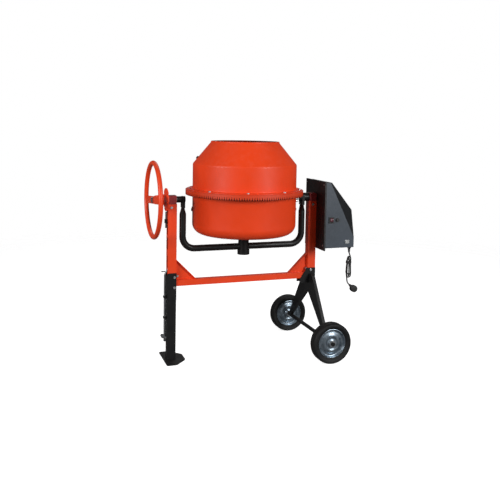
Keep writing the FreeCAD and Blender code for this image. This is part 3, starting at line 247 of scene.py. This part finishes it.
def make_metal(name, colour, other, rough, grain=420, stretch=(1, 1, 1), depth=0.00002, soiled=0.25):
    """Bare or plated metal: two casts of colour, fine tool marks and a little soiling."""
    made = make_material(name, Metallic=1.0)
    normal = rounded_normal(made, 0.0006)
    cast = blended(made, between(made, noise(made, 45, 4), 0.35, 0.65, 0, 1), colour, other)
    stain = between(made, noise(made, 90, 6, 0.75), 0.52, 0.75, 0, soiled)
    marks = noise(made, grain, 3, 0.6, stretch)
    wire_up(made, Base_Color=blended(made, stain, cast, (0.16, 0.14, 0.12, 1)),
            Roughness=arithmetic(made, "ADD", between(made, marks, 0.3, 0.7, rough - 0.07, rough + 0.08),
                                 arithmetic(made, "MULTIPLY", stain, 0.5)),
            Normal=bumps(made, normal, marks, depth))
    return made


zinc_plate = make_metal("zinc_plate", ZINC, ZINC_BLUE, 0.36)
dress(zinc_plate, "frame_fasteners", "axle_fasteners")

# ------------------------------------------------------------ wheels: solid tyres
# Each wheel turns on the fixed axle: a moulded solid tyre with ribbed walls and a grooved tread.
AXIS_X = -0.04875
AXLE_X, AXLE_Z = AXIS_X + 0.408, 0.112
TRACK_HALF = 0.3065
TYRE_PROFILE = [
    (80, 19), (82.5, 22.5, 2), (85.5, 23.5, 2), (88, 27, 3), (92, 29.4, 2), (94, 31, 1), (98, 32, 1),
    (99.5, 31.4, 1), (103, 32.8, 4), (107.5, 29.5, 2), (108.5, 27.2, 1), (111.2, 21.5, 3), (112, 16.5, 1),
    (112, 14.6, 0.6), (108.8, 13.8, 0.6), (108.8, 10.6, 0.6), (112, 9.8, 0.6), (112, 2.2, 0.6),
    (108.8, 1.5, 0.5)]


def line(points, closed=False):
    """A bmesh holding one line through (x, z) points in millimetres; a third number rounds a corner."""
    made = bmesh.new()
    corners = [made.verts.new((point[0] / 1000, 0, point[1] / 1000)) for point in points]
    for first, second in zip(corners, corners[1:]):
        made.edges.new((first, second))
    if closed:
        made.edges.new((corners[-1], corners[0]))
    places = [corner.co.copy() for corner in corners]
    for index, point in enumerate(points):
        if len(point) < 3:
            continue
        back = (places[index - 1] - places[index]).normalized()
        onward = (places[(index + 1) % len(points)] - places[index]).normalized()
        reach = point[2] / 1000 / math.tan(back.angle(onward) / 2)
        steps = max(2, min(10, round(point[2] * 1.5)))
        bmesh.ops.bevel(made, geom=[corners[index]], offset=reach, segments=steps, profile=0.5,
                        affect="VERTICES", material=-1)
    return made


def turn(made, steps=128):
    """Spin a line in the XZ plane a full turn about Z and close it, faces outwards."""
    bmesh.ops.spin(made, geom=made.verts[:] + made.edges[:], cent=(0, 0, 0), axis=(0, 0, 1), dvec=(0, 0, 0),
                   angle=2 * math.pi, steps=steps, use_merge=True, use_duplicate=False)
    bmesh.ops.remove_doubles(made, verts=made.verts[:], dist=1e-6)
    bmesh.ops.recalc_face_normals(made, faces=made.faces[:])
    return made


CREASE = math.radians(32)


def finished(name, made, material, body, stands_for=()):
    """Turn a bmesh into a shown piece: smooth but for its creases, dressed, and on its body."""
    bmesh.ops.triangulate(made, faces=[face for face in made.faces if len(face.verts) > 4])
    for face in made.faces:
        face.smooth = True
    for edge in made.edges:
        edge.smooth = len(edge.link_faces) == 2 and edge.calc_face_angle() < CREASE
    mesh = bpy.data.meshes.new(name)
    made.to_mesh(mesh)
    made.free()
    item = bpy.data.objects.new(name, mesh)
    bpy.context.scene.collection.objects.link(item)
    mesh.materials.append(material)
    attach(item, body)
    if stands_for:
        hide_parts(*stands_for)
    return item


def mirrored_line(points):
    """A profile given from the middle outwards on its upper side, and the same below."""
    upper = [tuple(point) for point in points]
    lower = [(point[0], -point[1], *point[2:]) for point in reversed(upper)]
    return line(upper + lower, True)


rubber = make_material("tyre_rubber", Specular_IOR_Level=0.3)
rubber_dust = arithmetic(rubber, "MULTIPLY", between(rubber, noise(rubber, 60, 6, 0.7), 0.42, 0.7, 0, 0.12),
                         between(rubber, noise(rubber, 7, 2), 0.35, 0.65, 0.3, 1))
wire_up(rubber, Base_Color=blended(rubber, rubber_dust, (0.006, 0.0065, 0.007, 1), (0.09, 0.08, 0.07, 1)),
        Roughness=between(rubber, noise(rubber, 150, 4), 0.3, 0.7, 0.5, 0.72),
        Normal=bumps(rubber, rounded_normal(rubber, 0.0008), noise(rubber, 900, 3), 0.00012))

for name, side in (("near", -1), ("far", 1)):
    tyre = turn(mirrored_line(TYRE_PROFILE), 120)
    bmesh.ops.rotate(tyre, verts=tyre.verts[:], matrix=Matrix.Rotation(math.pi / 2, 3, "X"))
    bmesh.ops.translate(tyre, verts=tyre.verts[:], vec=(AXLE_X, side * TRACK_HALF, AXLE_Z))
    finished(name + "_tyre", tyre, rubber, name + "_wheel", [name + "_wheel_tyre"])

# ------------------------------------------------------------ wheels: pressed discs
# Two galvanised pressings seam-welded at the rim, with a raised ring and a tube for the axle.
# Zinc crystals show as faint patches.
DISC_PROFILE = [
    (11.1, 22.9), (16.1, 22.9, 0.8), (16.1, 17.5, 2), (21, 16, 2), (24, 13, 3), (30, 13, 4), (36, 17.5, 5),
    (47, 17, 5), (58, 10.5, 6), (67, 8.5, 4), (71.5, 11.5, 3), (75.5, 20.6, 2), (79.9, 19.6, 1.2)]

galvanised = make_material("galvanised", Metallic=1.0)
crystals = node(galvanised, "TexVoronoi", {"Vector": node(galvanised, "TexCoord", {}, "Object"), "Scale": 120,
                                           "Randomness": 1.0}, "Color")
crystal_shade = node(galvanised, "SeparateColor", {0: crystals}, 0)
galvanised_cast = blended(galvanised, between(galvanised, crystal_shade, 0, 1, 0, 1),
                          (0.24, 0.30, 0.355, 1), (0.33, 0.395, 0.455, 1))
galvanised_soil = between(galvanised, noise(galvanised, 70, 6, 0.7), 0.5, 0.75, 0, 0.35)
wire_up(galvanised, Base_Color=blended(galvanised, galvanised_soil, galvanised_cast, (0.20, 0.18, 0.16, 1)),
        Roughness=arithmetic(galvanised, "ADD", between(galvanised, crystal_shade, 0, 1, 0.26, 0.42),
                             arithmetic(galvanised, "MULTIPLY", galvanised_soil, 0.5)),
        Normal=bumps(galvanised, rounded_normal(galvanised, 0.0008), crystal_shade, 0.000015))

for name, side in (("near", -1), ("far", 1)):
    disc = turn(mirrored_line(DISC_PROFILE), 96)
    bmesh.ops.rotate(disc, verts=disc.verts[:], matrix=Matrix.Rotation(math.pi / 2, 3, "X"))
    bmesh.ops.translate(disc, verts=disc.verts[:], vec=(AXLE_X, side * TRACK_HALF, AXLE_Z))
    finished(name + "_disc", disc, galvanised, name + "_wheel", [name + "_wheel_disc"])

# ------------------------------------------------------------ bearing blocks, bushes and trunnions
# Sand-cast blocks in dark red primer hold bronze bushes; the trunnions are ground steel and the
# collars that hold the yoke on them are blackened.
cast_red = make_paint("red_casting", (0.26, 0.018, 0.020, 1), (0.10, 0.085, 0.08, 1), gloss=0.42, peel=0.0003,
                      worn=0.6, dust=0.15, coat=0.1)
bronze = make_metal("sintered_bronze", (0.50, 0.31, 0.15, 1), (0.42, 0.27, 0.14, 1), 0.42)
ground_steel = make_metal("ground_steel", (0.52, 0.51, 0.50, 1), (0.44, 0.44, 0.45, 1), 0.30, 900,
                          (0.05, 1, 1))
dress(cast_red, "bearing_blocks")
dress(bronze, "trunnion_bushes")
dress(ground_steel, "left_trunnion", "right_trunnion")
dress(black_enamel, "trunnion_collars")

# ------------------------------------------------------------ tilting yoke
# Two bent 36 mm tubes, flattened where the trunnions pass, welded to a bored hub, all satin black.
dress(black_enamel, "yoke_arm_left", "yoke_arm_right", "yoke_hub")
dress(ground_steel, "hub_bearings")

# ------------------------------------------------------------ tilt lock
# A notched plate on the trunnion and a dull steel rod that is lifted into a notch, against its
# coil spring.
dress(frame_enamel, "lock_disc")
dress(black_enamel, "rod_guides")
lock_steel = make_metal("lock_steel", (0.24, 0.245, 0.25, 1), (0.18, 0.185, 0.19, 1), 0.50)
dress(lock_steel, "lock_rod")
spring_steel = make_metal("spring_steel", (0.30, 0.29, 0.28, 1), (0.24, 0.24, 0.25, 1), 0.28)
dress(spring_steel, "lock_spring")

# ------------------------------------------------------------ handwheel
# A 25 mm tube rolled into a ring, on one flat bar with a conical hub, enamelled like the frame.
WHEEL_X, TILT_Z = AXIS_X - 0.515, 0.880
RIM_RADIUS, RIM_TUBE = 0.199, 0.0125
SPOKE_SIZE = (0.006, 0.375, 0.041)
SPOKE_TURN = math.radians(-5)

rim = bmesh.new()
bmesh.ops.create_circle(rim, segments=24, radius=RIM_TUBE, matrix=Matrix.Translation((RIM_RADIUS, 0, 0)) @
                        Matrix.Rotation(math.pi / 2, 4, "X"))
turn(rim, 120)
bmesh.ops.rotate(rim, verts=rim.verts[:], matrix=Matrix.Rotation(math.pi / 2, 3, "Y"))
bmesh.ops.translate(rim, verts=rim.verts[:], vec=(WHEEL_X, 0, TILT_Z))
finished("wheel_rim", rim, frame_enamel, "yoke", ["handwheel_rim"])

spoke = bmesh.new()
bmesh.ops.create_cube(spoke, size=1)
bmesh.ops.scale(spoke, verts=spoke.verts[:], vec=SPOKE_SIZE)
bmesh.ops.bevel(spoke, geom=spoke.edges[:], offset=0.0012, segments=2, profile=0.5, affect="EDGES")
hub = turn(line([(16, -3), (20, -3, 2), (20, 4), (23.5, 8, 2), (25, 20, 4), (28.5, 44, 3), (28.5, 55, 1.5),
                 (16, 55)], True), 64)
bmesh.ops.rotate(hub, verts=hub.verts[:], matrix=Matrix.Rotation(math.pi / 2, 3, "Y"))
hub_mesh = bpy.data.meshes.new("hub")
hub.to_mesh(hub_mesh)
hub.free()
spoke.from_mesh(hub_mesh)
bmesh.ops.rotate(spoke, verts=spoke.verts[:], matrix=Matrix.Rotation(SPOKE_TURN, 3, "X"))
bmesh.ops.translate(spoke, verts=spoke.verts[:], vec=(WHEEL_X, 0, TILT_Z))
finished("wheel_spoke", spoke, frame_enamel, "yoke", ["handwheel_spoke"])

# ------------------------------------------------------------ drum shells
# Spun 2.5 mm steel: a dished bottom and a cylinder drawn in to a cone with a wired mouth edge,
# bolted together through their flanges. Bright enamel outside, painted dark inside as shade, with a band of
# painted shade under the ring gear.
BOTTOM_PROFILE = [
    (0, 658), (60, 658, 120), (290, 691.6, 55), (290, 930, 1.5), (318, 930, 0.8), (318, 932.4, 0.8),
    (287.5, 932.4),
    (287.5, 693.8, 52.5), (60, 660.5, 117.5), (0, 660.5)]
TOP_PROFILE = [
    (287.5, 932.6), (318, 932.6, 0.8), (318, 935, 0.8), (290, 935, 7), (290, 1072, 16), (190.9, 1192.1, 2),
    (192.5, 1195.5, 2.4), (187.5, 1200.5, 4.6), (182.5, 1195.5, 4), (187.1, 1190.7, 2.5), (287.5, 1071, 13.5)]

drum_enamel = make_paint("drum_enamel", ORANGE, PRIMER, gloss=0.46, peel=0.00005, worn=0.45, dust=0.05,
                         coat=0.05, sheen=0.3)
from_axis = node(drum_enamel, "VectorMath", {0: node(drum_enamel, "TexCoord", {}, "Object"),
                                             1: (-AXIS_X, 0, 0)}, operation="ADD")
outward = node(drum_enamel, "VectorMath", {0: from_axis, 1: (1, 1, 0)}, operation="MULTIPLY")
inner_side = between(drum_enamel, node(drum_enamel, "VectorMath", {
    0: outward, 1: node(drum_enamel, "TexCoord", {}, "Normal")}, 1,
    operation="DOT_PRODUCT"), -0.03, -0.01, 1, 0)
drum_shader = drum_enamel.node_tree.nodes["Principled BSDF"]
# painted shade: the inner faces of the shells are painted dark and mottled, standing for the shade inside the
# drum
painted_inside_shade = blended(drum_enamel, between(drum_enamel, noise(drum_enamel, 26, 6, 0.7), 0.42, 0.62, 0, 1),
                  (0.20, 0.018, 0.010, 1), (0.11, 0.035, 0.024, 1))
drum_height = node(drum_enamel, "SeparateXYZ", {0: from_axis}, 2)
# painted shade: a dark band round the wall just under the ring, where the teeth shade it
painted_band_shade = arithmetic(drum_enamel, "MULTIPLY", between(drum_enamel, drum_height, 0.895, 0.901, 0, 1),
                     between(drum_enamel, drum_height, 0.929, 0.9295, 1, 0))
sprayed = drum_shader.inputs["Base Color"].links[0].from_socket
wire_up(drum_enamel, Base_Color=blended(drum_enamel, painted_band_shade, blended(
    drum_enamel, inner_side, sprayed, painted_inside_shade), (0.022, 0.009, 0.006, 1)))
for name, profile, closed in (("bottom", BOTTOM_PROFILE, False), ("top", TOP_PROFILE, True)):
    shell = turn(line(profile, closed), 180)
    bmesh.ops.translate(shell, verts=shell.verts[:], vec=(AXIS_X, 0, 0))
    finished(name + "_shell", shell, drum_enamel, "drum", ["drum_%s_shell" % name])

CAP_BEARING = math.radians(163)

# rubber caps, one on the wall and one on the cone
for name, height, reach, tilt in (("wall_cap", 811, 289.5, 0), ("cone_cap", 1103, 264, 40)):
    cap = turn(line([(0, -1), (10, -1), (10, 2, 1), (8, 3, 1), (7.5, 7, 2), (0, 7.5)]), 32)
    bmesh.ops.rotate(cap, verts=cap.verts[:], matrix=Matrix.Rotation(math.radians(90 - tilt), 3, "Y"))
    bmesh.ops.translate(cap, verts=cap.verts[:], vec=(reach / 1000, 0, height / 1000))
    bmesh.ops.rotate(cap, verts=cap.verts[:], matrix=Matrix.Rotation(CAP_BEARING, 3, "Z"))
    bmesh.ops.translate(cap, verts=cap.verts[:], vec=(AXIS_X, 0, 0))
    finished(name, cap, rubber, "drum")
dress(ground_steel, "drum_shaft")
dress(cast_red, "paddle_left", "paddle_right")
dress(zinc_plate, "drum_bolts")

# ------------------------------------------------------------ ring gear and pinion
# The ring is three cast-iron segments, sprayed over with the drum, the flanks of the teeth painted
# dark as the shade between them; the pinion is machined steel.
cast_orange = make_paint("orange_casting", (0.64, 0.048, 0.010, 1), (0.20, 0.05, 0.03, 1), gloss=0.46,
                         peel=0.00022, worn=0.9, dust=0.08, coat=0.05)
ring_normal = node(cast_orange, "TexCoord", {}, "Normal")
ring_outward = node(cast_orange, "VectorMath", {0: node(cast_orange, "VectorMath", {
    0: node(cast_orange, "VectorMath", {0: node(cast_orange, "TexCoord", {}, "Object"), 1: (-AXIS_X, 0, 0)},
            operation="ADD"), 1: (1, 1, 0)}, operation="MULTIPLY")}, operation="NORMALIZE")
# painted shade: faces of the ring that face neither outward nor up, the tooth flanks, are painted near black
# for the shade in the gaps
painted_flank_shade = arithmetic(cast_orange, "MULTIPLY", between(cast_orange, node(cast_orange, "VectorMath", {
    0: ring_outward, 1: ring_normal}, 1, operation="DOT_PRODUCT"), 0.78, 0.95, 1, 0), between(
        cast_orange, node(cast_orange, "SeparateXYZ", {0: ring_normal}, 2), 0.5, 0.9, 1, 0))
cast_shader = cast_orange.node_tree.nodes["Principled BSDF"]
wire_up(cast_orange, Base_Color=blended(
    cast_orange, painted_flank_shade, cast_shader.inputs["Base Color"].links[0].from_socket, (0.018, 0.008, 0.006, 1)))
dress(cast_orange, "gear_segment_1", "gear_segment_2", "gear_segment_3")
dress(ground_steel, "drive_pinion", "pinion_shaft")

# ------------------------------------------------------------ belt drive and motor
# A cast pulley, a flat moulded belt and a die-cast motor with its capacitor, inside the box.
aluminium = make_metal("die_cast", (0.60, 0.61, 0.62, 1), (0.52, 0.53, 0.54, 1), 0.44, 300, depth=0.00008)
belt_rubber = make_material("belt_rubber", Roughness=0.6)
belt_dust = between(belt_rubber, noise(belt_rubber, 90, 5), 0.4, 0.7, 0, 0.5)
wire_up(belt_rubber, Base_Color=blended(belt_rubber, belt_dust,
                                        (0.02, 0.02, 0.021, 1), (0.09, 0.085, 0.08, 1)),
        Normal=bumps(belt_rubber, rounded_normal(belt_rubber), noise(belt_rubber, 700, 3), 0.0001))
dress(cast_red, "drive_pulley")
dress(ground_steel, "motor_rotor")
dress(aluminium, "motor_body")
dress(belt_rubber, "drive_belt")

# ------------------------------------------------------------ motor box
# A black tray bolted to the post and a cover folded from 2.5 mm sheet, both in a fine textured
# powder coat. The cover is near black, its front face painted slate grey as the light upon it.


def make_powder(name, colour, lift, grain=1400, depth=0.00011, rough=0.46):
    """Baked powder coat: fine even grain, small shade changes, dust and pale rubbed folds."""
    made = make_material(name, Specular_IOR_Level=0.45)
    normal = rounded_normal(made, 0.0018)
    shade = between(made, noise(made, 9, 4), 0.3, 0.7, 0.9, 1.1)
    base = node(made, "VectorMath", {0: colour[:3], 3: shade}, operation="SCALE")
    rub = arithmetic(made, "MULTIPLY", edge_mask(made, normal),
                     between(made, noise(made, 110, 5, 0.7), 0.42, 0.6, 0.05, 0.6))
    dust = between(made, noise(made, 50, 6, 0.7), 0.5, 0.78, 0, 0.10)
    wire_up(made, Base_Color=blended(made, arithmetic(made, "MAXIMUM", rub, dust), base, lift),
            Roughness=between(made, noise(made, 30, 4), 0.3, 0.7, rough - 0.05, rough + 0.08),
            Normal=bumps(made, normal, noise(made, grain, 2), depth))
    return made


cover_coat = make_powder("cover_coat", (0.044, 0.056, 0.072, 1), (0.22, 0.25, 0.28, 1))
cover_shader = cover_coat.node_tree.nodes["Principled BSDF"]
# painted light: the front face keeps the slate grey of a lit face, and every other face is painted near black
facing = node(cover_coat, "SeparateXYZ", {0: node(cover_coat, "TexCoord", {}, "Normal")}, 1)
painted_front_light = between(cover_coat, facing, -0.99, -0.9, 1, 0.08)
wire_up(cover_coat, Base_Color=node(cover_coat, "VectorMath", {
    0: cover_shader.inputs["Base Color"].links[0].from_socket, 3: painted_front_light}, operation="SCALE"))
tray_coat = make_powder("tray_coat", (0.010, 0.010, 0.011, 1), (0.10, 0.10, 0.10, 1))
dress(cover_coat, "motor_cover")
dress(tray_coat, "motor_tray")

# ------------------------------------------------------------ switch, reset button and cable clamp
# Moulded black bezel and button, a dark red rocker, and a small nickel-plated clamp.


def make_plastic(name, colour, scuff, rough, coat=0.0):
    made = make_material(name, Coat_Weight=coat, Coat_Roughness=0.1)
    normal = rounded_normal(made, 0.0007)
    shade = between(made, noise(made, 60, 4), 0.3, 0.7, 0, 0.25)
    wire_up(made, Base_Color=blended(made, shade, colour, scuff),
            Roughness=between(made, noise(made, 140, 5), 0.3, 0.7, rough - 0.06, rough + 0.08),
            Normal=bumps(made, normal, noise(made, 2200, 2), 0.00005))
    return made


black_plastic = make_plastic("black_plastic", (0.014, 0.014, 0.015, 1), (0.05, 0.05, 0.05, 1), 0.42)
red_plastic = make_plastic("red_plastic", (0.10, 0.028, 0.042, 1), (0.20, 0.07, 0.09, 1), 0.25, 0.5)
nickel = make_metal("nickel", (0.50, 0.51, 0.50, 1), (0.42, 0.44, 0.45, 1), 0.42, soiled=0.12)
dress(black_plastic, "switch_bezel", "reset_button", "capacitor")
dress(red_plastic, "switch_rocker")
dress(nickel, "cable_clamp", "plug_pins")

# ------------------------------------------------------------ mains cord, its hank, plug and strain relief
# A little under a metre of round rubber cord hangs from the box, folded into a tied hank, and ends
# in a moulded plug. Points are in millimetres from the drum's axis.
CORD_X, CORD_Y = 607, -112
DROP = [(607, -112, 590), (607.2, -112, 578), (608, -112, 566), (611, -112, 553.5)]
TAIL = [(599, -112, 401.5), (601, -112, 390), (608, -112, 380.7), (617, -112, 372.8), (623, -112, 367.5)]
CORD_RADIUS = 3.75
RUNS = 7
FOLD_LIFT = 8.5
HANK_LOW, HANK_HIGH, HANK_REACH = 432, 528, 14.4
HALF_TURN = 180 + 360 / RUNS / 2


def hank_points():
    """Seven upright runs set round a waist, with each fold a little inside the last."""
    points = []
    for run in range(RUNS):
        angle = math.radians(run * HALF_TURN)
        nest = run // 2
        low, high = HANK_LOW + FOLD_LIFT * nest, HANK_HIGH - FOLD_LIFT * nest
        sway = (1.0, -1.2, 0.8, -0.6, 1.1, -0.9, 0.4)[run]
        heights = [(high, HANK_REACH), (506 + sway, 10.4), (482, 12.2), (450 - sway, 13.6), (low, HANK_REACH)]
        if run % 2:
            heights.reverse()
        for height, reach in heights:
            points.append((CORD_X + reach * math.cos(angle), CORD_Y + reach * math.sin(angle), height))
        if run == RUNS - 1:
            break
        following = math.radians((run + 1) * HALF_TURN)
        direction = -1 if run % 2 == 0 else 1
        edge = low if run % 2 == 0 else high
        for share, out in ((45, 0.75), (90, 0.0), (135, -0.75)):
            turned = angle if out > 0 else following
            reach = HANK_REACH * abs(out)
            points.append((CORD_X + reach * math.cos(turned), CORD_Y + reach * math.sin(turned),
                           edge + direction * 13.4 * math.sin(math.radians(share))))
    return points


route = DROP + hank_points() + TAIL
curve = bpy.data.curves.new("mains_cord", "CURVE")
curve.dimensions = "3D"
curve.bevel_depth = CORD_RADIUS / 1000
curve.bevel_resolution = 5
curve.resolution_u = 6
curve.use_fill_caps = True
spline = curve.splines.new("NURBS")
spline.points.add(len(route) - 1)
for point, (x, y, z) in zip(spline.points, route):
    point.co = (AXIS_X + x / 1000, y / 1000, z / 1000, 1)
spline.order_u = 3
spline.use_endpoint_u = True
mains_cord = bpy.data.objects.new("mains_cord", curve)
bpy.context.scene.collection.objects.link(mains_cord)
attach(mains_cord, "frame")

cord_rubber = make_plastic("cord_rubber", (0.012, 0.012, 0.012, 1), (0.045, 0.043, 0.04, 1), 0.46)
curve.materials.append(cord_rubber)
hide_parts("cord_drop", "cord_hank", "cord_tail")

# strain relief: a moulded boot on the cord under its nut
boot = turn(line([(0, 597.9), (11, 597.9, 0.8), (11, 590, 1), (8.2, 589, 0.8), (7.6, 586), (6.6, 585),
                  (7.2, 583), (6.9, 580), (6, 579), (6.6, 577), (6.3, 574), (5.4, 573), (6, 571), (5.7, 568),
                  (4.4, 565, 0.6), (0, 565)]), 32)
bmesh.ops.translate(boot, verts=boot.verts[:], vec=(AXIS_X + 0.607, -0.112, 0))
finished("strain_relief", boot, black_plastic, "frame", ["cable_gland"])

# plug: a round moulded body with a grip ring and a ribbed neck towards the cord
plug = turn(line([(0, -15), (17.5, -15, 1), (20, -12, 2), (20, 3, 1), (18.4, 5, 1), (18.4, 9, 1),
                  (19.6, 11, 1), (19, 14.9, 2), (0, 14.9)]), 64)
bmesh.ops.rotate(plug, verts=plug.verts[:], matrix=Matrix.Rotation(-math.pi / 2, 3, "X"))
bmesh.ops.translate(plug, verts=plug.verts[:], vec=(AXIS_X + 0.643, -0.112, 0.350))
finished("plug", plug, cord_rubber, "frame", ["plug_body"])
neck = turn(line([(0, 0), (10, 0, 1), (9.4, 4, 0.5), (8, 5), (8.8, 7), (8.3, 9), (7.2, 10), (7.9, 12),
                  (7.4, 14), (6.4, 15), (7, 17), (6.4, 20), (4.6, 21.8, 0.5), (0, 21.8)]), 32)
lean = Vector((0, 0, 1)).rotation_difference(Vector((-24, 0, 21)))
bmesh.ops.rotate(neck, verts=neck.verts[:], matrix=lean.to_matrix())
bmesh.ops.translate(neck, verts=neck.verts[:], vec=(AXIS_X + 0.6306, -0.112, 0.3609))
finished("plug_neck", neck, cord_rubber, "frame")

# tie: a flat strap round the waist of the hank
tie = turn(line([(14.6, 501), (15.7, 501, 0.4), (15.7, 511, 0.4), (14.6, 511)], True), 48)
bmesh.ops.translate(tie, verts=tie.verts[:], vec=(AXIS_X + 0.607, -0.112, 0))
finished("hank_tie", tie, black_plastic, "frame")

bpy.context.view_layer.update()
